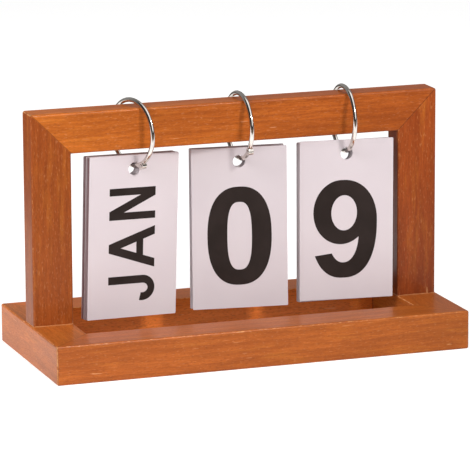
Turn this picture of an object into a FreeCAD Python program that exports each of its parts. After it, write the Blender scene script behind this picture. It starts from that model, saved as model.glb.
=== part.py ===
import FreeCAD, Part
import math
import os

from FreeCAD import Vector

# Perpetual desk calendar: a wooden base with a slot, an upright wooden frame, and
# three packs of cards that hang on hinged binder rings over the frame's top rail.
# Lengths are in millimetres and angles in degrees. X runs along the base, -Y is the
# front and Z is up. The origin is the middle of the base's underside.

# Base: four mitred sticks around an open slot
base_length = 220.0
base_depth = 100.0
base_height = 20.0
base_stick_width = 22.0
base_edge_radius = 1.0
slot_edge_radius = 0.6

# Upright frame: two stiles and a top rail, mitred at the top corners. Its sticks are
# narrower than the base's by the step at each end, so that the insides are flush.
upright_end_inset = 1.0
upright_setback = 1.0
upright_thickness = 15.0
upright_height = 108.4
upright_edge_radius = 1.2

# Dowels in the mitres
dowel_diameter = 5.0
base_dowel_length = 20.0
upright_dowel_length = 18.0
dowel_glue_gap = 0.05
dowel_end_room = 0.5
base_dowel_height_shares = (0.28, 0.72)
upright_dowel_depth_shares = (0.26, 0.74)

# Screws that hold the stiles from below
screw_length = 42.0
screw_shank_diameter = 4.0
screw_core_diameter = 3.2
screw_thread_length = 24.0
screw_tip_length = 4.0
screw_head_diameter = 7.8
screw_head_height = 2.4
screw_head_sunk = 0.6
screw_spacing = 10.0
screw_hole_clearance = 0.2
screw_pilot_clearance = 0.05
screw_drive_width = 0.9
screw_drive_length = 4.2
screw_drive_depth = 1.5

# Binder rings: two halves of wire, riveted at a lap and closed by a pin in a socket.
# A ring hangs on both top edges of the rail and leaves the cards' room under it.
ring_room_under_rail = 8.5
ring_wire_diameter = 2.4
ring_seat_gap = 0.2
ring_eye_diameter = 3.6
ring_eye_thickness = 1.3
ring_eye_offset = 1.1
ring_eye_clearance = 0.15
ring_lap_gap = 0.1
ring_rivet_diameter = 1.2
ring_rivet_clearance = 0.04
ring_rivet_head_diameter = 2.1
ring_rivet_head_height = 0.25
ring_end_gap = 0.1
ring_pin_diameter = 1.1
ring_pin_length = 1.9
ring_socket_clearance = 0.1

# Cards
card_height = 83.9
card_thickness = 0.4
card_corner_radius = 0.6
card_hole_diameter = 6.4
card_hole_drop = 7.2
card_hole_clearance = 0.25

# Room along the window, from left to right: beside the packs and between them. What is
# left of the window is shared by the packs of cards.
pack_count = 3
left_end_room = 9.75
months_tens_room = 6.7
tens_units_room = 7.4
right_end_room = 3.05

# How far each ring lies to the right of its front card's middle
months_ring_shift = -0.2
tens_ring_shift = 0.6
units_ring_shift = 0.4

# How far each month card hangs to the left of the one in front of it
months_fan_offset = 0.34

# How each ring is turned: about the vertical, and its rivet's place round the ring
# (from the bottom, towards the front). A ring hung the other way round is reversed.
months_ring_yaw = 20.0
tens_ring_yaw = 3.5
units_ring_yaw = 0.0
months_rivet_angle = 28.0
tens_rivet_angle = 52.0
units_rivet_angle = -32.0

# Each pack from the front card to the rear one: place round the ring, turn about the
# vertical (right edge forward) and lean (foot to the right)
months_pose_angles = (
    (7.5, -7.4, -1.8),
    (4.5, -7.2, -1.5),
    (1.5, -6.9, -1.9),
    (-1.5, -6.7, -1.6),
    (-4.5, -6.4, -1.9),
    (-7.5, -6.2, -1.6),
)
tens_pose_angles = (
    (5.0, 9.0, 0.4),
    (-9.0, 6.5, 0.2),
)
units_pose_angles = (
    (20.3, 6.0, -0.1),
    (15.3, 5.2, 0.2),
    (10.3, 4.4, -0.1),
    (5.3, 3.6, 0.3),
    (0.3, 3.0, 0.0),
)

# Derived sizes
overrun = base_height
same_place_share = 1e-6
upright_length = base_length - 2 * upright_end_inset
upright_stick_width = base_stick_width - upright_end_inset
rail_top = base_height + upright_height
window_length = base_length - 2 * base_stick_width
spare_room = left_end_room + months_tens_room + tens_units_room + right_end_room
card_width = (window_length - spare_room) / pack_count
months_card_x = left_end_room + (card_width - window_length) / 2
tens_card_x = months_card_x + card_width + months_tens_room
units_card_x = tens_card_x + card_width + tens_units_room
wire_radius = ring_wire_diameter / 2
edge_to_ring_bottom = (
    upright_stick_width - upright_edge_radius + ring_seat_gap + ring_room_under_rail
)
ring_inner_radius = (
    edge_to_ring_bottom**2 - upright_edge_radius**2
    + (upright_thickness / 2 - upright_edge_radius) ** 2
) / (2 * (edge_to_ring_bottom - upright_edge_radius))
ring_radius = ring_inner_radius + wire_radius
eye_radius = ring_eye_diameter / 2
eye_place = ring_radius + ring_eye_offset
end_gap_angle = math.degrees(ring_end_gap / ring_radius)

X_AXIS = Vector(1, 0, 0)
Y_AXIS = Vector(0, 1, 0)
Z_AXIS = Vector(0, 0, 1)
ORIGIN = Vector(0, 0, 0)


# Helpers


def export(shape, name):
    """Write one sub-part's file."""
    shape.exportStep(os.path.join("parts", name + ".step"))


def middle(edge):
    """Return an edge's middle point."""
    return edge.valueAt((edge.FirstParameter + edge.LastParameter) / 2)


def near(a, b):
    """Say whether two lengths are the same within a small share of the base."""
    return abs(a - b) < base_length * same_place_share


def prism(points, direction):
    """Return the solid that a closed outline sweeps along a vector."""
    wire = Part.makePolygon(list(points) + [points[0]])
    return Part.Face(wire).extrude(direction)


def group(solids):
    """Return several separate solids as one compound."""
    return Part.makeCompound(list(solids))


# Base


def base_blank():
    """Return the base as one piece: a rounded block with the slot through it."""
    block = Part.makeBox(
        base_length, base_depth, base_height,
        Vector(-base_length / 2, -base_depth / 2, 0),
    )
    block = block.makeFillet(base_edge_radius, block.Edges)
    slot_length = base_length - 2 * base_stick_width
    slot_depth = base_depth - 2 * base_stick_width
    slot = Part.makeBox(
        slot_length, slot_depth, base_height + 2 * overrun,
        Vector(-slot_length / 2, -slot_depth / 2, -overrun),
    )
    block = block.cut(slot)
    rims = []
    for edge in block.Edges:
        point = middle(edge)
        on_face = near(point.z, 0) or near(point.z, base_height)
        on_end = near(abs(point.x), slot_length / 2) and abs(point.y) < slot_depth / 2
        on_side = near(abs(point.y), slot_depth / 2) and abs(point.x) < slot_length / 2
        if on_face and (on_end or on_side):
            rims.append(edge)
    return block.makeFillet(slot_edge_radius, rims)


def base_stick_regions():
    """Return the four mitred regions that divide the base, each as a tall prism."""
    out_x = base_length / 2 + overrun
    out_y = base_depth / 2 + overrun
    reach = overrun + base_stick_width + slot_edge_radius
    in_x = out_x - reach
    in_y = out_y - reach
    low = -overrun
    outer = [
        Vector(-out_x, -out_y, low), Vector(out_x, -out_y, low),
        Vector(out_x, out_y, low), Vector(-out_x, out_y, low),
    ]
    inner = [
        Vector(-in_x, -in_y, low), Vector(in_x, -in_y, low),
        Vector(in_x, in_y, low), Vector(-in_x, in_y, low),
    ]
    names = ("base_front_rail", "base_right_rail", "base_back_rail", "base_left_rail")
    regions = {}
    for index, name in enumerate(names):
        after = (index + 1) % len(names)
        points = [outer[index], outer[after], inner[after], inner[index]]
        regions[name] = prism(points, Z_AXIS * (base_height + 2 * overrun))
    return regions


def base_dowels(extra_radius, extra_length):
    """Return the dowels in the base's mitres, or with extras the holes for them."""
    dowels = []
    length = base_dowel_length + 2 * extra_length
    for side_x in (-1, 1):
        for side_y in (-1, 1):
            along = Vector(side_x, -side_y, 0).normalize()
            centre = Vector(
                side_x * (base_length - base_stick_width) / 2,
                side_y * (base_depth - base_stick_width) / 2, 0,
            )
            for share in base_dowel_height_shares:
                start = centre + Z_AXIS * (base_height * share) - along * (length / 2)
                dowels.append(
                    Part.makeCylinder(dowel_diameter / 2 + extra_radius, length, start, along)
                )
    return dowels


# Upright frame


def upright_blank():
    """Return the upright as one piece: two stiles and the rail, with rounded edges."""
    half = upright_length / 2
    inside = half - upright_stick_width
    under_rail = rail_top - upright_stick_width
    front = upright_setback - upright_thickness / 2
    outline = [
        Vector(-half, front, base_height), Vector(-half, front, rail_top),
        Vector(half, front, rail_top), Vector(half, front, base_height),
        Vector(inside, front, base_height), Vector(inside, front, under_rail),
        Vector(-inside, front, under_rail), Vector(-inside, front, base_height),
    ]
    block = prism(outline, Y_AXIS * upright_thickness)
    edges = []
    for edge in block.Edges:
        point = middle(edge)
        long_edge = not near(point.y, upright_setback) and not near(point.z, base_height)
        outer_corner = near(abs(point.x), half) and near(point.z, rail_top)
        if long_edge or outer_corner:
            edges.append(edge)
    return block.makeFillet(upright_edge_radius, edges)


def upright_regions():
    """Return the mitred regions that divide the upright into its three sticks."""
    half = upright_length / 2
    inside = half - upright_stick_width
    under_rail = rail_top - upright_stick_width
    front = upright_setback - upright_thickness / 2 - overrun
    span = Y_AXIS * (upright_thickness + 2 * overrun)
    beyond = Vector(-half - overrun, front, rail_top + overrun)
    within = Vector(-inside + upright_edge_radius, front, under_rail - upright_edge_radius)
    stile = [
        beyond, within,
        Vector(within.x, front, base_height - overrun),
        Vector(beyond.x, front, base_height - overrun),
    ]
    rail = [
        beyond, within,
        Vector(-within.x, front, within.z),
        Vector(-beyond.x, front, beyond.z),
    ]
    left = prism(stile, span)
    return {
        "left_stile": left,
        "right_stile": left.mirror(ORIGIN, X_AXIS),
        "top_rail": prism(rail, span),
    }


def upright_dowels(extra_radius, extra_length):
    """Return the dowels in the upright's mitres, or with extras the holes for them."""
    dowels = []
    length = upright_dowel_length + 2 * extra_length
    front = upright_setback - upright_thickness / 2
    for side in (-1, 1):
        along = Vector(side, 0, -1).normalize()
        centre = Vector(
            side * (upright_length - upright_stick_width) / 2, front,
            rail_top - upright_stick_width / 2,
        )
        for share in upright_dowel_depth_shares:
            start = centre + Y_AXIS * (upright_thickness * share) - along * (length / 2)
            dowels.append(
                Part.makeCylinder(dowel_diameter / 2 + extra_radius, length, start, along)
            )
    return dowels


# Screws


def screw_places():
    """Return the points on the base's underside where the screws go in."""
    stile_middle = (upright_length - upright_stick_width) / 2
    return [
        Vector(side * stile_middle + step * screw_spacing / 2, upright_setback, 0)
        for side in (-1, 1)
        for step in (-1, 1)
    ]


def screw():
    """Return one countersunk wood screw that points up, its head sunk in the base."""
    head = screw_head_diameter / 2
    shank = screw_shank_diameter / 2
    core = screw_core_diameter / 2
    foot = screw_head_sunk
    top = foot + screw_length
    outline = [
        Vector(0, 0, foot),
        Vector(head, 0, foot),
        Vector(shank, 0, foot + screw_head_height),
        Vector(shank, 0, top - screw_thread_length),
        Vector(core, 0, top - screw_thread_length),
        Vector(core, 0, top - screw_tip_length),
        Vector(0, 0, top),
    ]
    wire = Part.makePolygon(outline + [outline[0]])
    body = Part.Face(wire).revolve(ORIGIN, Z_AXIS, 360)
    for length, width in (
        (screw_drive_length, screw_drive_width), (screw_drive_width, screw_drive_length),
    ):
        body = body.cut(
            Part.makeBox(length, width, screw_drive_depth, Vector(-length / 2, -width / 2, foot))
        )
    return body


def screw_hole():
    """Return the space for one screw: sink, clearance through the base, pilot above."""
    gap = screw_hole_clearance
    head = screw_head_diameter / 2 + gap
    shank = screw_shank_diameter / 2 + gap
    pilot = screw_core_diameter / 2 + screw_pilot_clearance
    foot = screw_head_sunk
    top = foot + screw_length + screw_tip_length / 4
    outline = [
        Vector(0, 0, -overrun),
        Vector(head, 0, -overrun),
        Vector(head, 0, foot),
        Vector(shank, 0, foot + screw_head_height),
        Vector(shank, 0, base_height),
        Vector(pilot, 0, base_height),
        Vector(pilot, 0, top),
        Vector(0, 0, top),
    ]
    wire = Part.makePolygon(outline + [outline[0]])
    return Part.Face(wire).revolve(ORIGIN, Z_AXIS, 360)


# Binder rings


def ring_seat_height(yaw):
    """Return the height of a ring's centre when it lies on both top edges of the rail."""
    half = upright_thickness / 2 / math.cos(math.radians(yaw))
    reach = ring_inner_radius - upright_edge_radius
    across = half - upright_edge_radius
    return rail_top - upright_edge_radius - math.sqrt(reach**2 - across**2) + ring_seat_gap


def wire_arc(start, sweep):
    """Return wire bent round the ring from one angle through another, about the origin."""
    circle = Part.makeCircle(wire_radius, Vector(0, 0, -ring_radius), Y_AXIS)
    face = Part.Face(Part.Wire(circle))
    face.rotate(ORIGIN, X_AXIS, -start)
    return face.revolve(ORIGIN, -X_AXIS, sweep)


def ring_half():
    """Return the front half with its rivet eye at the bottom, before its catch is made."""
    half = wire_arc(end_gap_angle / 2, 180 - end_gap_angle)
    lap_start = Vector(-ring_lap_gap / 2, 0, -eye_place)
    room = Part.makeCylinder(
        eye_radius + ring_eye_clearance, ring_wire_diameter, lap_start, X_AXIS,
    )
    eye = Part.makeCylinder(eye_radius, ring_eye_thickness, lap_start, -X_AXIS)
    bore = Part.makeCylinder(
        ring_rivet_diameter / 2 + ring_rivet_clearance, 2 * ring_wire_diameter,
        Vector(-ring_wire_diameter, 0, -eye_place), X_AXIS,
    )
    return half.cut(room).fuse(eye).cut(bore)


def ring_rear_half():
    """Return the half that carries the cards, with the catch's socket in its free end."""
    half = ring_half()
    half.rotate(ORIGIN, Z_AXIS, 180)
    socket = Part.makeCylinder(
        ring_pin_diameter / 2 + ring_socket_clearance,
        ring_pin_length + ring_end_gap + ring_socket_clearance,
        Vector(0, 0, ring_radius), Y_AXIS,
    )
    return half.cut(socket)


def ring_front_half():
    """Return the half that opens, with the catch's round-nosed pin on its free end."""
    radius = ring_pin_diameter / 2
    root = Vector(0, -ring_end_gap - ring_pin_length / 4, ring_radius)
    straight = ring_pin_length - radius - root.y
    pin = Part.makeCylinder(radius, straight, root, Y_AXIS)
    nose = Part.makeSphere(radius, root + Y_AXIS * straight)
    return ring_half().fuse(pin.fuse(nose))


def ring_rivet():
    """Return the rivet that joins the halves, with a head on each side."""
    seat = ring_lap_gap / 2 + ring_eye_thickness
    reach = seat + ring_rivet_head_height
    shank = Part.makeCylinder(
        ring_rivet_diameter / 2, 2 * reach, Vector(-reach, 0, -eye_place), X_AXIS,
    )
    rivet = shank
    for side in (-1, 1):
        head = Part.makeCylinder(
            ring_rivet_head_diameter / 2, ring_rivet_head_height,
            Vector(side * seat, 0, -eye_place), Vector(side, 0, 0),
        )
        outer = [edge for edge in head.Edges if near(abs(middle(edge).x), reach)]
        head = head.makeFillet(ring_rivet_head_height / 2, outer)
        rivet = rivet.fuse(head)
    return rivet.removeSplitter()


class CardSet:
    """One ring with its pack of cards: where it hangs and how it is turned."""

    def __init__(
        self, name, card_name, card_x, ring_shift, fan_offset, yaw, rivet_angle, reversed_ring, poses,
    ):
        self.name = name
        self.card_name = card_name
        self.card_x = card_x
        self.fan_offset = fan_offset
        self.yaw = yaw
        self.rivet_angle = rivet_angle
        self.reversed_ring = reversed_ring
        self.poses = poses
        self.centre = Vector(card_x + ring_shift, upright_setback, ring_seat_height(yaw))

    def place_ring(self, shape):
        """Return a ring piece moved from the origin to its place on the rail."""
        placed = shape.copy()
        if self.reversed_ring:
            placed.rotate(ORIGIN, Z_AXIS, 180)
        placed.rotate(ORIGIN, X_AXIS, -self.rivet_angle)
        placed.rotate(ORIGIN, Z_AXIS, self.yaw)
        placed.translate(self.centre)
        return placed

    def wire_point(self, angle):
        """Return the wire's centre at an angle from the ring's bottom."""
        turn = math.radians(self.yaw)
        front = Vector(math.sin(turn), -math.cos(turn), 0)
        round_ring = math.radians(angle)
        return self.centre + (
            front * math.sin(round_ring) - Z_AXIS * math.cos(round_ring)
        ) * ring_radius

    def wire_direction(self, angle):
        """Return the wire's direction at an angle from the ring's bottom."""
        turn = math.radians(self.yaw)
        front = Vector(math.sin(turn), -math.cos(turn), 0)
        round_ring = math.radians(angle)
        return front * math.cos(round_ring) + Z_AXIS * math.sin(round_ring)

    def card_hole(self, number):
        """Return a card's hole centre: its upper edge hangs just over the slanting wire."""
        pose = self.poses[number - 1]
        card_x = self.card_x - self.fan_offset * (number - 1)
        point = self.wire_point(pose[0])
        turn = math.radians(pose[1])
        across = Vector(math.cos(turn), -math.sin(turn), 0)
        facing = Vector(-math.sin(turn), -math.cos(turn), 0)
        slant = self.wire_direction(pose[0]).getAngle(facing)
        wire_reach = wire_radius / math.cos(slant) + card_thickness / 2 * math.tan(slant)
        play = card_hole_diameter / 2 - wire_reach - card_hole_clearance
        offset = (card_x - point.x) / across.x
        return point + across * offset - Z_AXIS * math.sqrt(play**2 - offset**2)

    def place_card(self, shape, number):
        """Return a card turned, leaned and hung at its place, number 1 in front."""
        pose = self.poses[number - 1]
        placed = shape.copy()
        placed.rotate(ORIGIN, Y_AXIS, -pose[2])
        placed.rotate(ORIGIN, Z_AXIS, -pose[1])
        placed.translate(self.card_hole(number))
        return placed

    def parts(self):
        """Return the set's pieces, by name."""
        pieces = {
            self.name + "_ring_rear_half": self.place_ring(ring_rear_half()),
            self.name + "_ring_front_half": self.place_ring(ring_front_half()),
            self.name + "_ring_rivet": self.place_ring(ring_rivet()),
        }
        for number in range(1, len(self.poses) + 1):
            pieces[f"{self.card_name}_card_{number}"] = self.place_card(card(), number)
        return pieces


def card():
    """Return a card about its hole: rounded corners and one round hole near the top."""
    sheet = Part.makeBox(
        card_width, card_thickness, card_height,
        Vector(-card_width / 2, -card_thickness / 2, card_hole_drop - card_height),
    )
    corners = [edge for edge in sheet.Edges if near(middle(edge).y, 0)]
    sheet = sheet.makeFillet(card_corner_radius, corners)
    hole = Part.makeCylinder(
        card_hole_diameter / 2, 2 * card_thickness, Y_AXIS * -card_thickness, Y_AXIS,
    )
    return sheet.cut(hole)


card_sets = (
    CardSet(
        "months", "month", months_card_x, months_ring_shift, months_fan_offset,
        months_ring_yaw, months_rivet_angle, False, months_pose_angles,
    ),
    CardSet(
        "tens", "tens", tens_card_x, tens_ring_shift, 0,
        tens_ring_yaw, tens_rivet_angle, False, tens_pose_angles,
    ),
    CardSet(
        "units", "units", units_card_x, units_ring_shift, 0,
        units_ring_yaw, units_rivet_angle, True, units_pose_angles,
    ),
)


# Whole calendar


def wooden_parts():
    """Return the base's and the upright's sticks with their dowel and screw holes."""
    pieces = {}
    holes = group(
        base_dowels(dowel_glue_gap, dowel_end_room)
        + upright_dowels(dowel_glue_gap, dowel_end_room)
    )
    screw_holes = group(
        screw_hole().translated(place) for place in screw_places()
    )
    blanks = (
        (base_blank(), base_stick_regions()),
        (upright_blank(), upright_regions()),
    )
    for blank, regions in blanks:
        for name, region in regions.items():
            stick = blank.common(region).cut(holes).cut(screw_holes)
            pieces[name] = stick.Solids[0]
    return pieces


def build():
    """Return every piece of the calendar, by name."""
    pieces = wooden_parts()
    pieces["base_corner_dowels"] = group(base_dowels(0, 0))
    pieces["upright_corner_dowels"] = group(upright_dowels(0, 0))
    pieces["stile_screws"] = group(screw().translated(place) for place in screw_places())
    for card_set in card_sets:
        pieces.update(card_set.parts())
    return pieces


os.makedirs("parts", exist_ok=True)
for piece_name, piece in build().items():
    export(piece, piece_name)
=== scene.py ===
"""Looks of a perpetual desk calendar: varnished stand, printed cards and chromed binder rings.

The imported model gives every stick, card and ring at its real place. This script dresses them, prints
the cards and sets up a plain studio. Lengths are in metres unless a name says otherwise.
"""

import logging
import math
from dataclasses import dataclass, replace
from enum import Enum

import bmesh
import bpy
from mathutils import Matrix, Vector


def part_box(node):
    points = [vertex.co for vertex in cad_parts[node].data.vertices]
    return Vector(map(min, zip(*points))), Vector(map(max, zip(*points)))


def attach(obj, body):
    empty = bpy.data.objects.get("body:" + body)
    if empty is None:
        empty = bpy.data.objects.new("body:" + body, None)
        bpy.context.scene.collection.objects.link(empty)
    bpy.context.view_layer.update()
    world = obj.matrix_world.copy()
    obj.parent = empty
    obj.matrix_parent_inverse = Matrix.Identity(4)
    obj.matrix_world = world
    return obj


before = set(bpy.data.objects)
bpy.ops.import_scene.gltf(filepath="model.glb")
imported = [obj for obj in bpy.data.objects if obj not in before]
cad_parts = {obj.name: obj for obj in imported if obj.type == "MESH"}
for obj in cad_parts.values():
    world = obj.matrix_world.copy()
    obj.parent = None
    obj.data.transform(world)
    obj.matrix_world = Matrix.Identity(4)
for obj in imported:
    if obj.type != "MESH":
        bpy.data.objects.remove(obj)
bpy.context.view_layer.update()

log = logging.getLogger("calendar")

MM = 0.001
PHOTO_PIXELS = 470
Colour = tuple[float, float, float]
Place = tuple[float, float, float]
Point = tuple[float, float]
Band = tuple[list[Point], list[Point]]
WHITE = (1.0, 1.0, 1.0)


def opaque(colour: Colour) -> tuple[float, float, float, float]:
    """Return a colour with full alpha, as colour sockets take it."""
    return (*colour, 1.0)


@dataclass(frozen=True)
class Streaks:
    """Noise drawn out along the grain.

    It changes so many times per metre along the grain and across it. It starts to show at low, and at high
    it takes its whole share.
    """

    along: float
    across: float
    detail: float
    roughness: float = 0.5
    low: float = 0.0
    high: float = 1.0
    share: float = 1.0


class Graph:
    """Adds nodes to a node tree and links them as they are added.

    A Mix node's colour sockets share their names with its other sockets, so they are known by number.
    """

    MIX_INPUTS = (0, 6, 7)
    MIX_OUTPUT = 2

    def __init__(self, tree: bpy.types.NodeTree) -> None:
        """Keep the tree that nodes are added to."""
        self.tree = tree

    def add(self, kind: str, sockets: dict | None = None, **settings: object) -> bpy.types.Node:
        """Add one node.

        Args:
            kind: Node type, without the ShaderNode prefix for shader nodes.
            sockets: Input values by name or index. A socket given here is linked.
            settings: Properties set on the node itself.

        Returns:
            The new node.
        """
        name = kind if kind.startswith("NodeGroup") else "ShaderNode" + kind
        node = self.tree.nodes.new(name)
        for key, value in settings.items():
            setattr(node, key, value)
        for key, value in (sockets or {}).items():
            self.feed(node.inputs[key], value)
        return node

    def feed(self, socket: bpy.types.NodeSocket, value: object) -> None:
        """Link a socket to another, or set its value.

        Args:
            socket: The input.
            value: The socket to link it to, or its value.
        """
        if isinstance(value, bpy.types.NodeSocket):
            self.tree.links.new(value, socket)
        else:
            socket.default_value = value

    def math(self, operation: str, *values: object, clamp: bool = False) -> bpy.types.NodeSocket:
        """Add a Math node and return its result."""
        sockets = dict(enumerate(values))
        return self.add("Math", sockets, operation=operation, use_clamp=clamp).outputs[0]

    def vector_math(self, operation: str, *values: object) -> bpy.types.NodeSocket:
        """Add a Vector Math node and return its result."""
        return self.add("VectorMath", dict(enumerate(values)), operation=operation).outputs[0]

    def ramp(self, value: object, low: float, high: float) -> bpy.types.NodeSocket:
        """Stretch a value, smoothly at both ends.

        Args:
            value: The value.
            low: What gives 0.
            high: What gives 1.

        Returns:
            The stretched value.
        """
        sockets = {"Value": value, "From Min": low, "From Max": high}
        node = self.add("MapRange", sockets, interpolation_type="SMOOTHSTEP")
        return node.outputs["Result"]

    def mix(self, share: object, first: object, second: object) -> bpy.types.NodeSocket:
        """Mix two colours.

        Args:
            share: The share of the second.
            first: The first colour.
            second: The second colour.

        Returns:
            The mixed colour.
        """
        node = self.add("Mix", data_type="RGBA")
        for place, value in zip(self.MIX_INPUTS, (share, first, second)):
            self.feed(node.inputs[place], value)
        return node.outputs[self.MIX_OUTPUT]

    def noise(
        self, vector: object, scale: object, detail: float, roughness: float = 0.5,
    ) -> bpy.types.NodeSocket:
        """Return a noise value over a vector."""
        sockets = {"Vector": vector, "Scale": scale, "Detail": detail, "Roughness": roughness}
        return self.add("TexNoise", sockets).outputs["Fac"]

    def drawn_out(self, vector: object, streaks: Streaks) -> bpy.types.NodeSocket:
        """Make the noise of streaks that run along X.

        Args:
            vector: The place.
            streaks: How fine and how rough they are.

        Returns:
            The noise.
        """
        rates = (streaks.along, streaks.across, streaks.across)
        stretched = self.vector_math("MULTIPLY", vector, rates)
        return self.noise(stretched, 1.0, streaks.detail, streaks.roughness)

    def shown(self, noise: object, streaks: Streaks) -> bpy.types.NodeSocket:
        """Return the share that the streaks take where their noise has this value."""
        return self.math("MULTIPLY", self.ramp(noise, streaks.low, streaks.high), streaks.share)

    def streaked(self, vector: object, streaks: Streaks) -> bpy.types.NodeSocket:
        """Return the share that the streaks take at a place."""
        return self.shown(self.drawn_out(vector, streaks), streaks)


class Group:
    """A shader node group that several materials share."""

    def __init__(self, name: str, inputs: dict[str, str], outputs: dict[str, str]) -> None:
        """Make the group's sockets.

        Args:
            name: The group's name.
            inputs: Socket types by input name, such as NodeSocketFloat.
            outputs: Socket types by output name.
        """
        self.tree = bpy.data.node_groups.new(name, "ShaderNodeTree")
        for side, sockets in (("INPUT", inputs), ("OUTPUT", outputs)):
            for socket, kind in sockets.items():
                self.tree.interface.new_socket(socket, in_out=side, socket_type=kind)
        self.graph = Graph(self.tree)
        self.inputs = self.graph.add("NodeGroupInput").outputs
        self.outputs = self.graph.add("NodeGroupOutput").inputs

    def give(self, name: str, socket: bpy.types.NodeSocket) -> None:
        """Link a result to one of the group's outputs."""
        self.tree.links.new(socket, self.outputs[name])


FLOAT = "NodeSocketFloat"
VECTOR = "NodeSocketVector"
COLOUR = "NodeSocketColor"


class SharedEffects:
    """The node groups for grain, edge wear with a painted edge highlight, joint lines and fine mottling."""

    WANDER = Streaks(9.0, 30.0, 3.0)
    PATCHES = Streaks(16.0, 90.0, 4.0, 0.6, 0.36, 0.66, 0.45)
    FIBRE = Streaks(110.0, 1250.0, 3.0, 0.75, 0.4, 0.6, 0.5)
    GOLD = Streaks(30.0, 260.0, 3.0, 0.65, 0.5, 0.75, 0.24)
    GLINTS = Streaks(420.0, 1500.0, 2.0, 0.6, 0.55, 0.75, 0.17)
    NICKS = Streaks(75.0, 760.0, 2.0, 0.5, 0.68, 0.73, 0.5)
    NICKED_PARTS = Streaks(26.0, 110.0, 1.0, 0.5, 0.55, 0.62)
    PORES = Streaks(520.0, 2300.0, 1.0, 0.4, 0.57, 0.68)
    WANDER_REACH = 13 * MM
    PITH_Y, PITH_Z = 55 * MM, 35 * MM
    LATE_RISE = (0.2, 0.9)
    LATE_END = (1.0, 0.93)
    LATE_SHARE = 0.3
    PORE_ROUGHNESS = 0.22
    FIBRE_HEIGHT = 0.4
    RAGGED_SCALE, RAGGED_DETAIL, RAGGED_ROUGHNESS = 420.0, 3.0, 0.65
    RAGGED_SWING, RAGGED_SHIFT = 2.4, -0.5
    LEAST_WIDTH = 0.01 * MM
    WEAR_HIGHLIGHT_EDGE = (1.2, 0.5)
    LINE_EDGE = (1.0, 0.35)
    MOTTLE_DETAIL, BLOTCH_ROUGHNESS, TOOTH_ROUGHNESS = 3.0, 0.5, 0.6

    def __init__(self) -> None:
        """Build each group once."""
        self.grain = self.make_grain()
        self.edges = self.make_edges()
        self.joint = self.make_joint()
        self.mottle = self.make_mottle()

    def make_grain(self) -> bpy.types.NodeTree:
        """Return wood grain that runs along its vector's X.

        Returns:
            A group that puts out colour, roughness and height.
        """
        group = Group(
            "Wood grain",
            {"Vector": VECTOR, "Early Wood": COLOUR, "Late Wood": COLOUR, "Pore": COLOUR, "Worn": COLOUR,
             "Gold": COLOUR, "Ring Spacing": FLOAT, "Pore Amount": FLOAT, "Roughness": FLOAT},
            {"Color": COLOUR, "Roughness": FLOAT, "Height": FLOAT},
        )
        g, given = group.graph, group.inputs
        plank = given["Vector"]
        split = g.add("SeparateXYZ", {0: plank}).outputs
        from_pith = {"Y": g.math("ADD", split[1], self.PITH_Y), "Z": g.math("ADD", split[2], self.PITH_Z)}
        across = g.add("CombineXYZ", from_pith).outputs[0]
        depth = g.add("VectorMath", {0: across}, operation="LENGTH").outputs["Value"]
        wander = g.math("MULTIPLY", g.drawn_out(plank, self.WANDER), self.WANDER_REACH)
        rings = g.math("FRACT", g.math("DIVIDE", g.math("ADD", depth, wander), given["Ring Spacing"]))
        late = g.math("MULTIPLY", g.ramp(rings, *self.LATE_RISE), g.ramp(rings, *self.LATE_END))
        patches = g.streaked(plank, self.PATCHES)
        share = g.math("ADD", g.math("MULTIPLY", late, self.LATE_SHARE), patches, clamp=True)
        colour = g.mix(share, given["Early Wood"], given["Late Wood"])
        fibre = g.drawn_out(plank, self.FIBRE)
        colour = g.mix(g.shown(fibre, self.FIBRE), colour, given["Late Wood"])
        colour = g.mix(g.streaked(plank, self.GOLD), colour, given["Gold"])
        # Painted glints: fine pale flecks in the pale wear colour.
        colour = g.mix(g.streaked(plank, self.GLINTS), colour, given["Worn"])
        nicks = g.math("MULTIPLY", g.streaked(plank, self.NICKS), g.streaked(plank, self.NICKED_PARTS))
        colour = g.mix(nicks, colour, given["Worn"])
        pore = g.math("MULTIPLY", g.streaked(plank, self.PORES), given["Pore Amount"])
        group.give("Color", g.mix(pore, colour, given["Pore"]))
        rougher = g.math("MULTIPLY", pore, self.PORE_ROUGHNESS)
        group.give("Roughness", g.math("ADD", given["Roughness"], rougher))
        group.give("Height", g.math("SUBTRACT", g.math("MULTIPLY", fibre, self.FIBRE_HEIGHT), pore))
        return group.tree

    def make_edges(self) -> bpy.types.NodeTree:
        """Return a mask that is 1 along the edges of a box and broken up by noise.

        Returns:
            A group that puts out the mask.
        """
        group = Group(
            "Worn and highlighted edges",
            {"Vector": VECTOR, "Centre": VECTOR, "Half Size": VECTOR, "Width": FLOAT},
            {"Mask": FLOAT},
        )
        g, given = group.graph, group.inputs
        reach = g.vector_math("ABSOLUTE", g.vector_math("SUBTRACT", given["Vector"], given["Centre"]))
        depth = g.vector_math("ABSOLUTE", g.vector_math("SUBTRACT", given["Half Size"], reach))
        x, y, z = g.add("SeparateXYZ", {0: depth}).outputs
        outer = g.math("MINIMUM", x, y)
        inner = g.math("MINIMUM", g.math("MAXIMUM", x, y), z)
        second = g.math("MAXIMUM", outer, inner)
        noise = g.noise(given["Vector"], self.RAGGED_SCALE, self.RAGGED_DETAIL, self.RAGGED_ROUGHNESS)
        ragged = g.math("ADD", g.math("MULTIPLY", noise, self.RAGGED_SWING), self.RAGGED_SHIFT)
        width = g.math("MAXIMUM", g.math("MULTIPLY", given["Width"], ragged), self.LEAST_WIDTH)
        group.give("Mask", g.ramp(g.math("DIVIDE", second, width), *self.WEAR_HIGHLIGHT_EDGE))
        return group.tree

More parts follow.
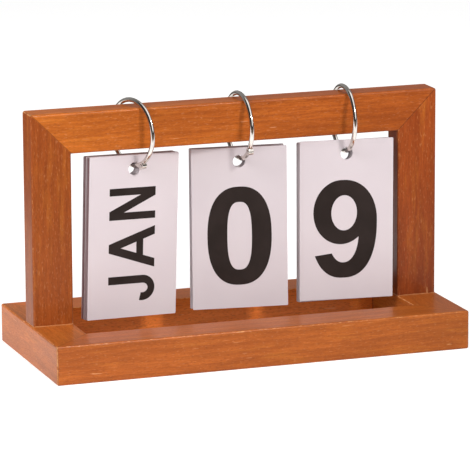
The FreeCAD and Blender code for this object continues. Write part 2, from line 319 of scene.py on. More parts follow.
    def make_joint(self) -> bpy.types.NodeTree:
        """Return a mask of the thin glue line where two sticks meet in a mitre.

        Returns:
            A group that puts out the mask.
        """
        group = Group(
            "Mitre line",
            {"Vector": VECTOR, "Corner": VECTOR, "Across": VECTOR, "Width": FLOAT},
            {"Mask": FLOAT},
        )
        g, given = group.graph, group.inputs
        folded = g.add("SeparateXYZ", {0: given["Vector"]}).outputs
        corner = {"X": g.math("ABSOLUTE", folded[0]), "Y": g.math("ABSOLUTE", folded[1]), "Z": folded[2]}
        off = g.vector_math("SUBTRACT", given["Corner"], g.add("CombineXYZ", corner).outputs[0])
        along = g.add("VectorMath", {0: off, 1: given["Across"]}, operation="DOT_PRODUCT").outputs["Value"]
        gap = g.math("ABSOLUTE", along)
        group.give("Mask", g.ramp(g.math("DIVIDE", gap, given["Width"]), *self.LINE_EDGE))
        return group.tree

    def make_mottle(self) -> bpy.types.NodeTree:
        """Return soft blotches and fine tooth for card, ink and metal.

        Returns:
            A group that puts out a blotch value and a fine value.
        """
        group = Group(
            "Mottle",
            {"Vector": VECTOR, "Blotch Scale": FLOAT, "Tooth Scale": FLOAT},
            {"Blotch": FLOAT, "Tooth": FLOAT},
        )
        g, given = group.graph, group.inputs
        scales = (given["Blotch Scale"], given["Tooth Scale"])
        group.give("Blotch", g.noise(given["Vector"], scales[0], self.MOTTLE_DETAIL, self.BLOTCH_ROUGHNESS))
        group.give("Tooth", g.noise(given["Vector"], scales[1], self.MOTTLE_DETAIL, self.TOOTH_ROUGHNESS))
        return group.tree


class GrainAxis(Enum):
    """The direction that a stick's grain runs, as the turn that brings it to X."""

    ALONG = (0.0, 0.0, 0.0)
    ACROSS = (0.0, 0.0, math.radians(-90))
    UPRIGHT = (0.0, math.radians(90), 0.0)

    @property
    def row(self) -> int:
        """Return the number of the axis that the stick lies along."""
        return list(GrainAxis).index(self)


@dataclass(frozen=True)
class MitreJoint:
    """The plane of a mitre: a point of it and its normal, for the corner with X and Y positive."""

    corner: Place
    across: Place


@dataclass(frozen=True)
class Varnish:
    """The finish of one varnished stick."""

    early: Colour
    late: Colour
    pore: Colour = (0.11, 0.024, 0.006)
    # Pale colour for edge wear and nicks, also used for the painted glints and a painted highlight along
    # the edges.
    wear_and_highlight: Colour = (0.86, 0.44, 0.18)
    gold: Colour = (0.66, 0.22, 0.025)
    roughness: float = 0.4
    gloss: float = 0.16
    coat: float = 0.09
    coat_roughness: float = 0.1
    pore_amount: float = 0.27
    ring_spacing: float = 3.4 * MM
    edge_width: float = 0.45 * MM
    wear_highlight_share: float = 0.7
    line_width: float = 0.3 * MM
    line_share: float = 0.6
    relief: float = 0.22
    relief_depth: float = 0.08 * MM
    # Painted light and shade: the colour is scaled from the first end colour at the stick's low end to the
    # last at its high end, lighter with a pale painted sheen where the lamps light the stick more, darker
    # where it lies in shade.
    painted_light_tints: tuple[Colour, Colour] = (WHITE, WHITE)

    def material(
        self, effects: SharedEffects, name: str, grain: GrainAxis, shift: Place, joint: MitreJoint,
    ) -> bpy.types.Material:
        """Make the stick's material.

        Args:
            effects: The shared node groups.
            name: The stick's node name.
            grain: Which way the grain runs.
            shift: Where the stick is cut from its plank.
            joint: The mitre that crosses the stick's ends.

        Returns:
            The material.
        """
        material = new_material("varnished_" + name)
        g = Graph(material.node_tree)
        place = g.add("TexCoord").outputs["Object"]
        low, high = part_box(name)
        centre = [(a + b) / 2 for a, b in zip(low, high)]
        half = [(b - a) / 2 for a, b in zip(low, high)]
        plank = g.add("Mapping", {"Vector": place, "Location": shift, "Rotation": grain.value}).outputs[0]
        wood = g.add("Group", node_tree=effects.grain)
        for key, value in {
            "Vector": plank, "Early Wood": opaque(self.early), "Late Wood": opaque(self.late),
            "Pore": opaque(self.pore), "Worn": opaque(self.wear_and_highlight), "Gold": opaque(self.gold),
            "Ring Spacing": self.ring_spacing, "Pore Amount": self.pore_amount, "Roughness": self.roughness,
        }.items():
            g.feed(wood.inputs[key], value)
        edge = g.add("Group", node_tree=effects.edges)
        for key, value in {
            "Vector": place, "Centre": centre, "Half Size": half, "Width": self.edge_width,
        }.items():
            g.feed(edge.inputs[key], value)
        line = g.add("Group", node_tree=effects.joint)
        for key, value in {
            "Vector": place, "Corner": joint.corner, "Across": joint.across, "Width": self.line_width,
        }.items():
            g.feed(line.inputs[key], value)
        # Edge wear and a painted edge highlight: the pale colour along every edge of the stick.
        wear_highlight_mask = g.math("MULTIPLY", edge.outputs["Mask"], self.wear_highlight_share)
        wear_and_highlight = g.mix(wear_highlight_mask, wood.outputs["Color"], opaque(self.wear_and_highlight))
        lined = g.mix(g.math("MULTIPLY", line.outputs["Mask"], self.line_share), wear_and_highlight, opaque(self.pore))
        height = g.math("SUBTRACT", wood.outputs["Height"], line.outputs["Mask"])
        bump = g.add("Bump", {"Strength": self.relief, "Distance": self.relief_depth, "Height": height})
        # Painted light and shade along the stick, scaled from its first end colour to its last.
        along = g.add("SeparateXYZ", {0: place}).outputs[grain.row]
        span = {"Value": along, "From Min": low[grain.row], "From Max": high[grain.row]}
        share = g.add("MapRange", span).outputs["Result"]
        first, last = self.painted_light_tints
        tinted = g.vector_math("MULTIPLY", lined, g.mix(share, opaque(first), opaque(last)))
        surface = material.node_tree.nodes["Principled BSDF"]
        for key, value in {
            "Base Color": tinted, "Roughness": wood.outputs["Roughness"], "Normal": bump.outputs[0],
            "Coat Weight": self.coat, "Coat Roughness": self.coat_roughness,
            "Specular IOR Level": self.gloss,
        }.items():
            g.feed(surface.inputs[key], value)
        return material


@dataclass(frozen=True)
class PlainFinish:
    """A finish of one colour with soft blotches and a fine tooth."""

    colour: Colour
    second: Colour
    roughness: float
    metallic: float = 0.0
    gloss: float = 0.5
    blotch_scale: float = 60.0
    tooth_scale: float = 2400.0
    blotch_edge: Point = (0.3, 0.7)
    bump: float = 0.05
    bump_depth: float = 0.05 * MM
    roughness_swing: float = 0.1

    def add_painted_shade(
        self, g: Graph, place: bpy.types.NodeSocket, colour: bpy.types.NodeSocket,
    ) -> bpy.types.NodeSocket:
        """Return the colour as it is. Finishes with painted shade on a part add it here."""
        return colour

    def material(self, effects: SharedEffects, name: str) -> bpy.types.Material:
        """Make the material from the shared mottle.

        Args:
            effects: The shared node groups.
            name: The material's name.

        Returns:
            The material.
        """
        material = new_material(name)
        g = Graph(material.node_tree)
        place = g.add("TexCoord").outputs["Object"]
        mottle = g.add("Group", node_tree=effects.mottle)
        for key, value in {
            "Vector": place, "Blotch Scale": self.blotch_scale, "Tooth Scale": self.tooth_scale,
        }.items():
            g.feed(mottle.inputs[key], value)
        blotch = g.ramp(mottle.outputs["Blotch"], *self.blotch_edge)
        tooth = mottle.outputs["Tooth"]
        swing = g.math("MULTIPLY", g.math("SUBTRACT", tooth, 0.5), self.roughness_swing)
        bump = g.add("Bump", {"Strength": self.bump, "Distance": self.bump_depth, "Height": tooth})
        surface = material.node_tree.nodes["Principled BSDF"]
        for key, value in {
            "Base Color": self.add_painted_shade(g, place, g.mix(blotch, opaque(self.colour), opaque(self.second))),
            "Roughness": g.math("ADD", swing, self.roughness, clamp=True),
            "Metallic": self.metallic, "Specular IOR Level": self.gloss, "Normal": bump.outputs[0],
        }.items():
            g.feed(surface.inputs[key], value)
        return material


@dataclass(frozen=True)
class CardStock(PlainFinish):
    """Satin card whose left margin can carry painted shade, where the cards of a pack shade each other."""

    margin: Colour = (0.27, 0.14, 0.15)
    margin_shade_share: float = 0.0
    margin_width: float = 0.8 * MM
    margin_full_share: float = 0.7
    left_edge: Place = (0.0, 0.0, 0.0)
    inward: Place = (1.0, 0.0, 0.0)

    def add_painted_shade(
        self, g: Graph, place: bpy.types.NodeSocket, colour: bpy.types.NodeSocket,
    ) -> bpy.types.NodeSocket:
        """Paint shade on the left margin, where the cards of a pack shade each other.

        Args:
            g: The material's graph.
            place: The place on the card.
            colour: The card's colour there.

        Returns:
            The tinted colour.
        """
        off = g.vector_math("SUBTRACT", place, self.left_edge)
        inside = g.add("VectorMath", {0: off, 1: self.inward}, operation="DOT_PRODUCT").outputs["Value"]
        # Painted shade: the dark colour fades in towards the card's left edge.
        mask = g.ramp(inside, self.margin_width, self.margin_width * self.margin_full_share)
        return g.mix(g.math("MULTIPLY", mask, self.margin_shade_share), colour, opaque(self.margin))


def new_material(name: str) -> bpy.types.Material:
    """Make a material with nodes.

    Args:
        name: The material's name.

    Returns:
        The material.
    """
    material = bpy.data.materials.new(name)
    material.use_nodes = True
    return material


def dress(node: str, material: bpy.types.Material) -> None:
    """Give a CAD node its finish.

    Args:
        node: The node's name.
        material: Its finish.
    """
    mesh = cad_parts[node].data
    mesh.materials.clear()
    mesh.materials.append(material)
    log.info("dressed %s", node)


@dataclass
class Stand:
    """The base and the upright frame, with their dowels and screws."""

    effects: SharedEffects
    # Each stick's two end colours are painted light and shade: lighter with a pale painted sheen at the
    # better lit end, darker towards the shaded end.
    base_varnish: Varnish = Varnish(
        early=(0.51, 0.128, 0.017), late=(0.30, 0.068, 0.008), coat=0.13,
        painted_light_tints=((1.0, 0.98, 1.08), (0.87, 0.87, 0.76)),
    )
    # Painted light: a lighter copy of the base's wood, standing in for the light that reaches the back wall
    # of the slot.
    lit_back_varnish: Varnish = Varnish(early=(0.80, 0.205, 0.034), late=(0.60, 0.140, 0.018))
    rail_varnish: Varnish = Varnish(
        early=(0.58, 0.142, 0.014), late=(0.33, 0.070, 0.006), coat=0.06,
        painted_light_tints=((1.04, 1.1, 1.2), (0.74, 0.65, 0.78)),
    )
    left_varnish: Varnish = Varnish(
        early=(0.40, 0.091, 0.013), late=(0.24, 0.048, 0.006),
        painted_light_tints=((0.88, 0.9, 0.96), (0.93, 0.87, 0.78)),
    )
    right_varnish: Varnish = Varnish(
        early=(0.36, 0.070, 0.011), late=(0.21, 0.036, 0.005),
        painted_light_tints=((0.7, 0.68, 0.72), (1.14, 1.12, 0.92)),
    )
    # Painted light at the base's ends: the left end lighter with a pale painted sheen towards the back, the
    # right end painted darker as shade.
    left_end_painted_light: tuple[Colour, Colour] = ((0.95, 0.99, 1.04), (1.4, 1.5, 1.7))
    right_end_painted_shade: tuple[Colour, Colour] = ((0.86, 0.84, 0.86), (0.78, 0.78, 0.78))
    dowel: PlainFinish = PlainFinish(
        (0.62, 0.42, 0.24), (0.52, 0.33, 0.17), roughness=0.6, blotch_scale=300.0,
    )
    zinc: PlainFinish = PlainFinish((0.62, 0.60, 0.52), (0.50, 0.48, 0.42), roughness=0.32, metallic=1.0)

    def mitres(self) -> tuple[MitreJoint, MitreJoint]:
        """Find the planes of the mitres.

        Returns:
            The base's mitre and the upright's.
        """
        base_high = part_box("base_front_rail")[1]
        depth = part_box("base_back_rail")[1][1]
        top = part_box("top_rail")[1]
        slope = math.sqrt(0.5)
        base = MitreJoint((base_high[0], depth, 0.0), (slope, -slope, 0.0))
        upright = MitreJoint((top[0], 0.0, top[2]), (slope, 0.0, -slope))
        return base, upright

    def build(self) -> None:
        """Dress every stick, the dowels and the screws."""
        base, upright = self.mitres()
        # The base's end rails take the base's varnish with their own painted light and shade.
        left_end = replace(self.base_varnish, painted_light_tints=self.left_end_painted_light)
        right_end = replace(self.base_varnish, painted_light_tints=self.right_end_painted_shade)
        sticks = (
            ("base_front_rail", self.base_varnish, GrainAxis.ALONG, (0.31, 0.02, 0.01), base),
            ("base_back_rail", self.lit_back_varnish, GrainAxis.ALONG, (1.73, 0.05, 0.03), base),
            ("base_left_rail", left_end, GrainAxis.ACROSS, (2.41, 0.03, 0.02), base),
            ("base_right_rail", right_end, GrainAxis.ACROSS, (3.17, 0.06, 0.01), base),
            ("left_stile", self.left_varnish, GrainAxis.UPRIGHT, (0.83, 0.02, 0.04), upright),
            ("right_stile", self.right_varnish, GrainAxis.UPRIGHT, (1.29, 0.07, 0.02), upright),
            ("top_rail", self.rail_varnish, GrainAxis.ALONG, (2.03, 0.01, 0.05), upright),
        )
        for name, varnish, grain, shift, joint in sticks:
            dress(name, varnish.material(self.effects, name, grain, shift, joint))
        beech = self.dowel.material(self.effects, "beech_dowel")
        dress("base_corner_dowels", beech)
        dress("upright_corner_dowels", beech)
        dress("stile_screws", self.zinc.material(self.effects, "zinc_plated_screw"))


@dataclass
class Rings:
    """The chromed binder rings."""

    effects: SharedEffects
    packs: tuple[str, ...] = ("months", "tens", "units")
    chrome: PlainFinish = PlainFinish(
        (0.78, 0.73, 0.68), (0.62, 0.57, 0.52), roughness=0.11, metallic=1.0, blotch_scale=260.0,
        tooth_scale=1800.0, bump=0.04, roughness_swing=0.08,
    )
    rivet: PlainFinish = PlainFinish(
        (0.62, 0.59, 0.56), (0.46, 0.43, 0.40), roughness=0.18, metallic=1.0, blotch_scale=900.0,
    )

    def build(self) -> None:
        """Dress both halves and the rivet of each ring."""
        chrome = self.chrome.material(self.effects, "chromed_wire")
        rivet = self.rivet.material(self.effects, "chromed_rivet")
        for pack in self.packs:
            dress(f"{pack}_ring_rear_half", chrome)
            dress(f"{pack}_ring_front_half", chrome)
            dress(f"{pack}_ring_rivet", rivet)


ARC_STEP = math.radians(5)


def arc(
    centre: Point, radii: Point, start: float, stop: float, count: int = 0, power: float = 1.0,
) -> list[Point]:
    """Return points along a stretch of an ellipse, or of a squarer oval.

    Args:
        centre: The ellipse's centre.
        radii: Its half width and half height.
        start: First angle in degrees, counted from the right.
        stop: Last angle in degrees.
        count: How many steps to take, or 0 for as many as the angle needs.
        power: The power of each sine and cosine, less than 1 for a squarer oval.

    Returns:
        The points, both ends included.
    """
    first, last = math.radians(start), math.radians(stop)
    steps = count or max(2, round(abs(last - first) / ARC_STEP))
    points = []
    for step in range(steps + 1):
        angle = first + (last - first) * step / steps
        turns = (math.cos(angle), math.sin(angle))
        shares = [math.copysign(abs(value) ** power, value) for value in turns]
        points.append((centre[0] + radii[0] * shares[0], centre[1] + radii[1] * shares[1]))
    return points


def bar(left: float, right: float, low: float = 0.0, high: float = 1.0) -> Band:
    """Return a stroke with square corners."""
    return [(left, low), (left, high)], [(right, low), (right, high)]


def slant(foot: float, head: float, width: float, low: float = 0.0, high: float = 1.0) -> Band:
    """Return a sloping stroke with level ends, from its foot's left side to its head's."""
    return [(foot, low), (head, high)], [(foot + width, low), (head + width, high)]


def bow(centre: Point, outer: Point, inner: Point, start: float = 0.0, stop: float = 360.0) -> Band:
    """Return a curved stroke between two ellipses about one centre."""
    return arc(centre, outer, start, stop), arc(centre, inner, start, stop)


@dataclass(frozen=True)
class Glyph:
    """One printed character: its width, strokes and the space after it, in heights of a capital."""

    width: float
    bands: tuple[Band, ...]
    after: float = 0.13

    def turned(self) -> "Glyph":
        """Turn the character half round, as a 9 makes a 6.

        Returns:
            The turned character.
        """
        bands = []
        for band in self.bands:
            bands.append(tuple([(self.width - x, 1 - y) for x, y in line] for line in band))
        return Glyph(self.width, tuple(bands))


class Alphabet:
    """A plain bold sans for the months and the digits.

    Where strokes cross, each lies one layer over the one before.
    """

    STEM = 0.16
    BEAM = 0.15
    SLOPE = 0.174
    LAYER = 0.0001
    WELD = 0.00001

    def __init__(self) -> None:
        """Draw every character once."""
        self.glyphs = {**self.straight_letters(), **self.round_letters(), **self.digits()}

    def straight_letters(self) -> dict[str, Glyph]:
        """Draw the letters made of straight strokes.

        Returns:
            The glyph of each letter.
        """
        stem, beam, slope = self.STEM, self.BEAM, self.SLOPE
        upright = bar(0, stem)
        a, m, n, t, v, y = 0.838, 0.90, 0.636, 0.64, 0.78, 0.78
        return {
            "A": Glyph(a, (slant(0, (a - slope) / 2, slope), slant(a - slope, (a - slope) / 2, slope),
                           bar(0.16, a - 0.16, 0.25, 0.25 + beam)), 0.15),
            "E": Glyph(0.56, (upright, bar(0, 0.56, 0, beam), bar(0, 0.51, 0.43, 0.43 + beam),
                              bar(0, 0.56, 1 - beam, 1))),
            "F": Glyph(0.54, (upright, bar(0, 0.49, 0.42, 0.42 + beam), bar(0, 0.54, 1 - beam, 1))),
            "L": Glyph(0.52, (upright, bar(0, 0.52, 0, beam))),
            "M": Glyph(m, (upright, bar(m - stem, m), slant((m - slope) / 2, 0, slope, 0.12),
                           slant((m - slope) / 2, m - slope, slope, 0.12))),
            "N": Glyph(n, (bar(0, 0.148), bar(n - 0.148, n), slant(n - slope, 0, slope))),
            "T": Glyph(t, (bar((t - stem) / 2, (t + stem) / 2), bar(0, t, 1 - beam, 1))),
            "V": Glyph(v, (slant((v - slope) / 2, 0, slope), slant((v - slope) / 2, v - slope, slope))),
            "Y": Glyph(y, (bar((y - stem) / 2, (y + stem) / 2, 0, 0.44),
                           slant((y - slope) / 2, 0, slope, 0.38),
                           slant((y - slope) / 2, y - slope, slope, 0.38))),
        }

    def round_letters(self) -> dict[str, Glyph]:
        """Draw the letters with curved strokes.

        Returns:
            The glyph of each letter.
        """
        stem, beam = self.STEM, self.BEAM
        upright = bar(0, stem)
        ring_out, ring_in = (0.43, 0.51), (0.43 - stem, 0.51 - beam)
        heart = (0.43, 0.5)
        hook, dip, cup = 0.257, 0.27, 0.35
        bowl_p, bowl_b, bowl_d = 0.29, 0.275, 0.40
        return {
            "B": Glyph(0.64, (
                upright, bar(0, 0.32, 1 - beam, 1), bar(0, 0.34, 0.45, 0.45 + beam), bar(0, 0.34, 0, beam),
                bow((0.32, 1 - bowl_b), (0.26, bowl_b), (0.26 - stem, bowl_b - beam), -90, 90),
                bow((0.34, 0.3), (0.30, 0.3), (0.30 - stem, 0.3 - beam), -90, 90),
            )),
            "C": Glyph(0.78, (bow(heart, ring_out, ring_in, 42, 318),)),
            "D": Glyph(0.75, (
                upright, bar(0, 0.35, 0, beam), bar(0, 0.35, 1 - beam, 1),
                bow((0.35, 0.5), (bowl_d, 0.5), (bowl_d - stem, 0.5 - beam), -90, 90),
            )),
            "G": Glyph(0.84, (
                bow(heart, ring_out, ring_in, 42, 330), bar(0.45, 0.82, 0.38, 0.38 + beam),
                bar(0.82 - stem, 0.82, 0.16, 0.45),
            )),
            "J": Glyph(2 * hook, (
                bar(2 * hook - stem, 2 * hook, hook, 1),
                bow((hook, hook), (hook, dip), (hook - stem, dip - beam), 0, -194),
            ), 0.148),
            "O": Glyph(0.86, (bow(heart, ring_out, ring_in),)),
            "P": Glyph(0.62, (
                upright, bar(0, 0.33, 1 - beam, 1), bar(0, 0.33, 1 - 2 * bowl_p, 1 - 2 * bowl_p + beam),
                bow((0.33, 1 - bowl_p), (bowl_p, bowl_p), (bowl_p - stem, bowl_p - beam), -90, 90),
            )),
            "R": Glyph(0.66, (
                upright, bar(0, 0.33, 1 - beam, 1), bar(0, 0.33, 1 - 2 * bowl_p, 1 - 2 * bowl_p + beam),
                bow((0.33, 1 - bowl_p), (bowl_p, bowl_p), (bowl_p - stem, bowl_p - beam), -90, 90),
                slant(0.66 - self.SLOPE, 0.24, self.SLOPE, 0, 0.5),
            )),
            "S": Glyph(0.60, (
                bow((0.30, 0.7175), (0.285, 0.2925), (0.285 - stem, 0.2925 - beam), 28, 270),
                bow((0.30, 0.2825), (0.30, 0.2925), (0.30 - stem, 0.2925 - beam), 90, -152),
            )),
            "U": Glyph(0.70, (
                bar(0, stem, cup, 1), bar(0.70 - stem, 0.70, cup, 1),
                bow((0.35, cup), (0.35, cup), (0.35 - stem, cup - beam), 180, 360),
            )),
        }

    def digits(self) -> dict[str, Glyph]:
        """Draw the ten digits, heavier than the letters.

        Returns:
            The glyph of each digit.
        """
        stem, beam, wide = 0.195, 0.155, 0.65
        oval = (0.323, 0.5)
        heart, high, low = (0.315, 0.58), (0.345, 0.42), (0.345, 0.584)
        hole, hole_radii = (0.319, 0.663), (0.133, 0.180)
        tail, tail_radii = (0.313, 0.457), (0.157, 0.303)
        nine = Glyph(0.658, (
            (arc((0.289, 0.671), (0.289, 0.329), 0, 360, 72), arc(hole, hole_radii, 0, 360, 72)),
            (arc(heart, high, 90, 0, 18, 0.96) + arc(heart, low, 0, -147.5, 30, 0.835)[1:],
             arc(hole, hole_radii, 90, 0, 18) + arc(tail, tail_radii, 0, -139, 30, 0.93)[1:]),
        ))
        return {
            "0": Glyph(wide, (
                (arc(oval, (0.325, 0.5), 0, 360, 72, 0.83), arc(oval, (0.124, 0.344), 0, 360, 72, 0.73)),
            )),
            "1": Glyph(0.42, (bar(0.42 - stem, 0.42), slant(0, 0.1, 0.26, 0.67, 0.82))),
            "2": Glyph(wide, (
                bow((0.32, 0.69), (0.32, 0.31), (0.13, 0.16), 182, -32), bar(0, wide, 0, beam),
                ([(0.591, 0.526), (0.26, beam)], [(0.430, 0.605), (0, 0.06)]),
            )),
            "3": Glyph(wide, (
                bow((0.31, 0.735), (0.30, 0.265), (0.11, 0.12), 168, -90),
                bow((0.32, 0.285), (0.325, 0.285), (0.13, 0.14), 90, -172),
                bar(0.2, 0.33, 0.46, 0.46 + 0.11),
            )),
            "4": Glyph(0.69, (
                bar(0.36, 0.36 + stem), bar(0, 0.69, 0.21, 0.21 + beam), slant(0, 0.36, 0.2, 0.3, 1),
            )),
            "5": Glyph(wide, (
                bar(0.10, 0.61, 1 - beam, 1), slant(0.03, 0.10, 0.17, 0.45, 1),
                bow((0.32, 0.33), (0.33, 0.34), (0.135, 0.19), 140, -168),
            )),
            "6": nine.turned(),
            "7": Glyph(0.64, (bar(0, 0.64, 1 - beam, 1), slant(0.13, 0.43, 0.205, 0, 0.9))),
            "8": Glyph(wide, (
                bow((0.325, 0.735), (0.295, 0.27), (0.108, 0.125)),
                bow((0.325, 0.285), (0.325, 0.295), (0.13, 0.15)),
            )),
            "9": nine,
        }

    def write(self, text: str) -> bmesh.types.BMesh:
        """Set a word as flat strips of ink.

        Args:
            text: The characters to set.

        Returns:
            A mesh centred on the word, in which a capital is 1 high.
        """
        mesh = bmesh.new()
        pen = 0.0
        for place, letter in enumerate(text):
            glyph = self.glyphs[letter]
            for layer, band in enumerate(glyph.bands):
                lines = []
                for points in band:
                    verts = [mesh.verts.new((pen + x, y, layer * self.LAYER)) for x, y in points]
                    lines += [mesh.edges.new(pair) for pair in zip(verts, verts[1:])]
                bmesh.ops.bridge_loops(mesh, edges=lines)
            pen += glyph.width + (glyph.after if place < len(text) - 1 else 0.0)
        bmesh.ops.remove_doubles(mesh, verts=mesh.verts, dist=self.WELD)
        bmesh.ops.translate(mesh, verts=mesh.verts, vec=(-pen / 2, -0.5, 0))
        return mesh


# A face looks along an axis if its normal has more than FACING of it. Two directions are square to each
# other if they share less than SQUARE.
FACING = 0.5
SQUARE = 0.01


class Reading(Enum):
    """How a card's print is turned on the card."""

    LEVEL = 0.0
    UPWARD = math.radians(90)


@dataclass(frozen=True)
class CardPlane:
    """A card's middle and its own directions: right, up and out of the front."""

    middle: Vector
    right: Vector
    up: Vector
    out: Vector
    half_thickness: float
    half_width: float

    @staticmethod
    def of(node: str) -> "CardPlane":
        """Read a card's place from its mesh.

        Args:
            node: The card's node.

        Returns:
            The card's plane at rest.
        """
        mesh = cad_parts[node].data
        faces = sorted(mesh.polygons, key=lambda face: face.area, reverse=True)
        out = next(Vector(face.normal) for face in faces if face.normal.y < -FACING)
        sides = [face for face in faces if abs(face.normal.dot(out)) < SQUARE]
        right = next(Vector(face.normal) for face in sides if face.normal.x > FACING)
        up = out.cross(right)
        middle = Vector()
        halves = []
        for axis in (right, up, out):
            reach = [vertex.co.dot(axis) for vertex in mesh.vertices]
            middle += axis * (min(reach) + max(reach)) / 2
            halves.append((max(reach) - min(reach)) / 2)
        half_width, _, half_thickness = halves
        return CardPlane(middle, right, up, out, half_thickness, half_width)

    def matrix(self, behind: bool) -> Matrix:
        """Find where flat print goes on the card.

        Args:
            behind: Whether it goes on the back, turned round.

        Returns:
            The matrix that takes the print there.
        """
        side = -1 if behind else 1
        right, out = self.right * side, self.out * side
        place = self.middle + out * self.half_thickness
        return Matrix.Translation(place) @ Matrix((right, self.up, out)).transposed().to_4x4()


@dataclass
class CardPack:
    """One pack of cards and what is printed on each, front card first."""

    stem: str
    fronts: tuple[str, ...]
    backs: tuple[str, ...]
    print_height: float
    print_shift: Point
    reading: Reading
    # How much painted shade each card's left margin takes, front card first.
    margin_shade_shares: tuple[float, ...] = (0.0, 0.0, 0.0, 0.0, 0.0)
    # Painted shade: the pack's card colour is scaled darker where the pack stands less well lit.
    painted_shade_tone: float = 1.0
    ink_thickness: float = 0.03 * MM
    ink_sunk: float = 0.01 * MM

    def print_face(
        self, alphabet: Alphabet, number: int, text: str, behind: bool, ink: bpy.types.Material,
    ) -> None:
        """Print one face of one card.

        Args:
            alphabet: The characters.
            number: The card's number, counted from the front.
            text: What to print.
            behind: Whether this is the card's back.
            ink: The ink's material.
        """
        node = f"{self.stem}_card_{number}"
        mesh = alphabet.write(text)
        strips = bmesh.ops.extrude_face_region(mesh, geom=mesh.faces[:])
        raised = [item for item in strips["geom"] if isinstance(item, bmesh.types.BMVert)]
        size = self.print_height
        bmesh.ops.translate(mesh, verts=raised, vec=(0, 0, (self.ink_thickness + self.ink_sunk) / size))
        bmesh.ops.recalc_face_normals(mesh, faces=mesh.faces)
        shift = Matrix.Translation((self.print_shift[0], self.print_shift[1], -self.ink_sunk))
        turned = Matrix.Rotation(self.reading.value, 4, "Z") @ Matrix.Scale(size, 4)
        mesh.transform(CardPlane.of(node).matrix(behind) @ shift @ turned)
        name = f"{node}_print_{'back' if behind else 'front'}"
        data = bpy.data.meshes.new(name)
        mesh.to_mesh(data)
        mesh.free()
        data.materials.append(ink)
        piece = bpy.data.objects.new(name, data)
        bpy.context.collection.objects.link(piece)
        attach(piece, f"{node}_body")
        log.info("printed %s: %s", name, text)

    def build(
        self, effects: SharedEffects, alphabet: Alphabet, board: CardStock, ink: bpy.types.Material,
    ) -> None:
        """Dress the pack's cards and print both faces of each.

        Args:
            effects: The shared node groups.
            alphabet: The characters.
            board: The cards' finish.
            ink: The ink's material.
        """
        # Painted shade: a darker copy of the one card stock for this pack.
        colours = [tuple(value * self.painted_shade_tone for value in colour) for colour in (board.colour, board.second)]
        shaded_board = replace(board, colour=colours[0], second=colours[1])
        for number, (front, back, share) in enumerate(zip(self.fronts, self.backs, self.margin_shade_shares), 1):
            node = f"{self.stem}_card_{number}"
            plane = CardPlane.of(node)
            edge = plane.middle - plane.right * plane.half_width
            stock = replace(shaded_board, margin_shade_share=share, left_edge=tuple(edge), inward=tuple(plane.right))
            dress(node, stock.material(effects, "satin_" + node))
            self.print_face(alphabet, number, front, False, ink)
            self.print_face(alphabet, number, back, True, ink)


@dataclass
class Cards:
    """The three packs of printed cards."""

    effects: SharedEffects
    board: CardStock = CardStock(
        (0.72, 0.64, 0.665), (0.695, 0.615, 0.645), roughness=0.42, gloss=0.35, blotch_scale=28.0,
        bump=0.04,
    )
    ink: PlainFinish = PlainFinish(
        (0.019, 0.012, 0.010), (0.026, 0.017, 0.015), roughness=0.45, gloss=0.15, blotch_scale=70.0,
    )
    packs: tuple[CardPack, ...] = (
        CardPack(
            "month", ("JAN", "FEB", "MAR", "APR", "MAY", "JUN"), ("JUL", "AUG", "SEP", "OCT", "NOV", "DEC"),
            25.7 * MM, (-0.65 * MM, -4.3 * MM), Reading.UPWARD, (0.0, 0.95, 0.7, 0.0, 0.95, 0.15),
        ),
        CardPack("tens", ("0", "1"), ("2", "3"), 51.5 * MM, (0.0, -4.15 * MM), Reading.LEVEL, painted_shade_tone=0.9),
        CardPack(
            "units", ("9", "0", "1", "2", "3"), ("4", "5", "6", "7", "8"),
            51.4 * MM, (-0.7 * MM, -4.8 * MM), Reading.LEVEL, painted_shade_tone=0.945,
        ),
    )

    def build(self) -> None:
        """Dress and print every pack."""
        alphabet = Alphabet()
        ink = self.ink.material(self.effects, "black_print")
        for pack in self.packs:
            pack.build(self.effects, alphabet, self.board, ink)


@dataclass(frozen=True)
class Lamp:
    """One soft square lamp, its power in watts.

    Metal and varnish mirror its face only where mirrored is set.
    """

    name: str
    place: Place
    size: float
    power: float
    colour: Colour = WHITE
    mirrored: bool = False

    def hang(self, aim: Place) -> None:
        """Hang the lamp in the studio.

        Args:
            aim: The place that it points at.
        """
        data = bpy.data.lights.new(self.name, "AREA")
        data.size = self.size
        data.energy = self.power
        data.color = self.colour
        lamp = bpy.data.objects.new(self.name, data)
        lamp.visible_glossy = self.mirrored
        lamp.location = self.place
        lamp.rotation_euler = (Vector(aim) - Vector(self.place)).to_track_quat("-Z", "Y").to_euler()
        bpy.context.collection.objects.link(lamp)


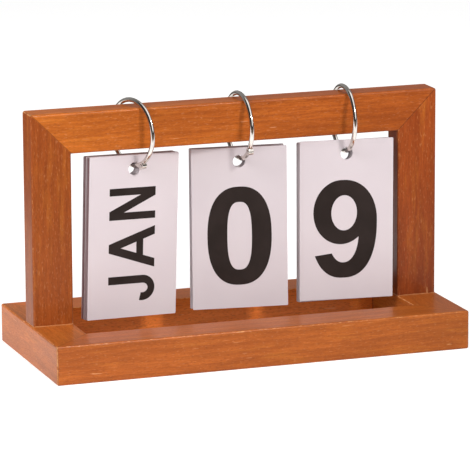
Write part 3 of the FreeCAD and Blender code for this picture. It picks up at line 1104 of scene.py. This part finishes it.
@dataclass
class Studio:
    """A plain studio: pale floor, soft light and the photograph's view.

    Each edge is two directions or depths between which a light fades in.
    """

    eye: Place = (-0.6295, -1.7937, 0.4739)
    yaw: float = 19.362
    pitch: float = 12.345
    roll: float = -0.28
    focal_pixels: float = 3800.3
    sensor: float = 36.0
    clip: Point = (0.05, 50.0)
    floor_reach: float = 6.0
    sky_strength: float = 0.34
    front_gloss: float = 0.05
    back_gloss: float = 0.3
    arch_gloss: float = 1.3
    floor_glow: float = 0.52
    floor_colour: Colour = (0.86, 0.86, 0.86)
    floor_roughness: float = 0.9
    floor_gloss: float = 0.1
    room_colour: Colour = (0.12, 0.085, 0.065)
    floor_front_edge: Point = (-0.42, -0.2)
    floor_back_edge: Point = (0.5, 0.15)
    sky_back_edge: Point = (0.1, 0.6)
    arch_left_edge: Point = (-0.15, 0.1)
    arch_right_edge: Point = (0.85, 0.65)
    arch_back_edge: Point = (0.5, 0.2)
    arch_low_edge: Point = (0.02, 0.2)
    aim: Place = (0.0, 0.0, 0.07)
    lamps: tuple[Lamp, ...] = (
        Lamp("key", (0.63, -1.87, 1.44), 0.34, 28.6, (1.0, 0.985, 0.965), mirrored=True),
        Lamp("fill", (-1.06, -0.99, 0.74), 1.2, 6.5),
        Lamp("side", (-1.07, -0.30, 0.84), 0.7, 9.4),
    )

    def camera(self) -> None:
        """Set the camera at the photograph's viewing angle."""
        data = bpy.data.cameras.new("camera")
        data.sensor_width = self.sensor
        data.lens = self.focal_pixels / PHOTO_PIXELS * self.sensor
        data.clip_start, data.clip_end = self.clip
        camera = bpy.data.objects.new("camera", data)
        turn = Matrix.Rotation(math.radians(-self.yaw), 4, "Z") @ Matrix.Rotation(
            math.radians(90 - self.pitch), 4, "X") @ Matrix.Rotation(math.radians(self.roll), 4, "Z")
        camera.matrix_world = Matrix.Translation(self.eye) @ turn
        bpy.context.collection.objects.link(camera)
        bpy.context.scene.camera = camera

    def floor(self) -> None:
        """Lay a pale floor that keeps the stand's shadow."""
        mesh = bmesh.new()
        bmesh.ops.create_grid(mesh, x_segments=1, y_segments=1, size=self.floor_reach)
        data = bpy.data.meshes.new("floor")
        mesh.to_mesh(data)
        mesh.free()
        floor = bpy.data.objects.new("floor", data)
        bpy.context.collection.objects.link(floor)
        material = new_material("pale_floor")
        data.materials.append(material)
        g = Graph(material.node_tree)
        nodes = material.node_tree.nodes
        surface = nodes["Principled BSDF"]
        surface.inputs["Roughness"].default_value = self.floor_roughness
        surface.inputs["Specular IOR Level"].default_value = self.floor_gloss
        path = g.add("LightPath").outputs
        depth = g.add("SeparateXYZ", {0: g.add("TexCoord").outputs["Object"]}).outputs[1]
        near = g.math("MULTIPLY", g.ramp(depth, *self.floor_front_edge),
                      g.ramp(depth, *self.floor_back_edge))
        mirrored = g.math("MULTIPLY", path["Is Glossy Ray"], near)
        hidden = g.math("SUBTRACT", path["Is Glossy Ray"], mirrored)
        colour = g.mix(hidden, opaque(self.floor_colour), opaque(self.room_colour))
        g.feed(surface.inputs["Base Color"], colour)
        seen = g.math("MAXIMUM", path["Is Camera Ray"], mirrored)
        strength = g.math("MULTIPLY", seen, self.floor_glow)
        glow = g.add("Emission", {"Color": opaque(WHITE), "Strength": strength})
        both = g.add("AddShader", {0: surface.outputs[0], 1: glow.outputs[0]})
        g.feed(nodes["Material Output"].inputs["Surface"], both.outputs[0])

    def world(self) -> None:
        """Light the studio all round, white behind the stand and dimmer in front of it."""
        world = bpy.data.worlds.new("studio")
        bpy.context.scene.world = world
        world.use_nodes = True
        nodes = world.node_tree.nodes
        g = Graph(world.node_tree)
        path = g.add("LightPath").outputs
        facing = g.add("SeparateXYZ", {0: g.add("TexCoord").outputs["Generated"]}).outputs
        rise = g.math("MULTIPLY", g.ramp(facing[1], *self.sky_back_edge),
                      self.back_gloss - self.front_gloss)
        sides = g.math("MULTIPLY", g.ramp(facing[0], *self.arch_left_edge),
                       g.ramp(facing[0], *self.arch_right_edge))
        height = g.math("MULTIPLY", g.ramp(facing[1], *self.arch_back_edge),
                        g.ramp(facing[2], *self.arch_low_edge))
        arch = g.math("MULTIPLY", self.arch_gloss, g.math("MULTIPLY", sides, height))
        gloss = g.math("MAXIMUM", g.math("ADD", self.front_gloss, rise), arch)
        shown = g.math("MAXIMUM", path["Is Camera Ray"], path["Is Transmission Ray"])
        plain = g.math("MULTIPLY", self.sky_strength, g.math("SUBTRACT", 1.0, path["Is Glossy Ray"]))
        mirrored = g.math("MULTIPLY", gloss, path["Is Glossy Ray"])
        strength = g.math("MAXIMUM", shown, g.math("ADD", plain, mirrored))
        g.feed(nodes["Background"].inputs["Color"], opaque(WHITE))
        g.feed(nodes["Background"].inputs["Strength"], strength)

    def build(self) -> None:
        """Set the camera, the floor, the sky and the lamps."""
        self.camera()
        self.floor()
        self.world()
        for lamp in self.lamps:
            lamp.hang(self.aim)
        bpy.context.scene.view_settings.view_transform = "Standard"


def main() -> None:
    """Build the whole picture."""
    logging.basicConfig(level=logging.INFO, format="%(name)s: %(message)s")
    effects = SharedEffects()
    Stand(effects).build()
    Rings(effects).build()
    Cards(effects).build()
    Studio().build()


if __name__ == "__main__":
    main()
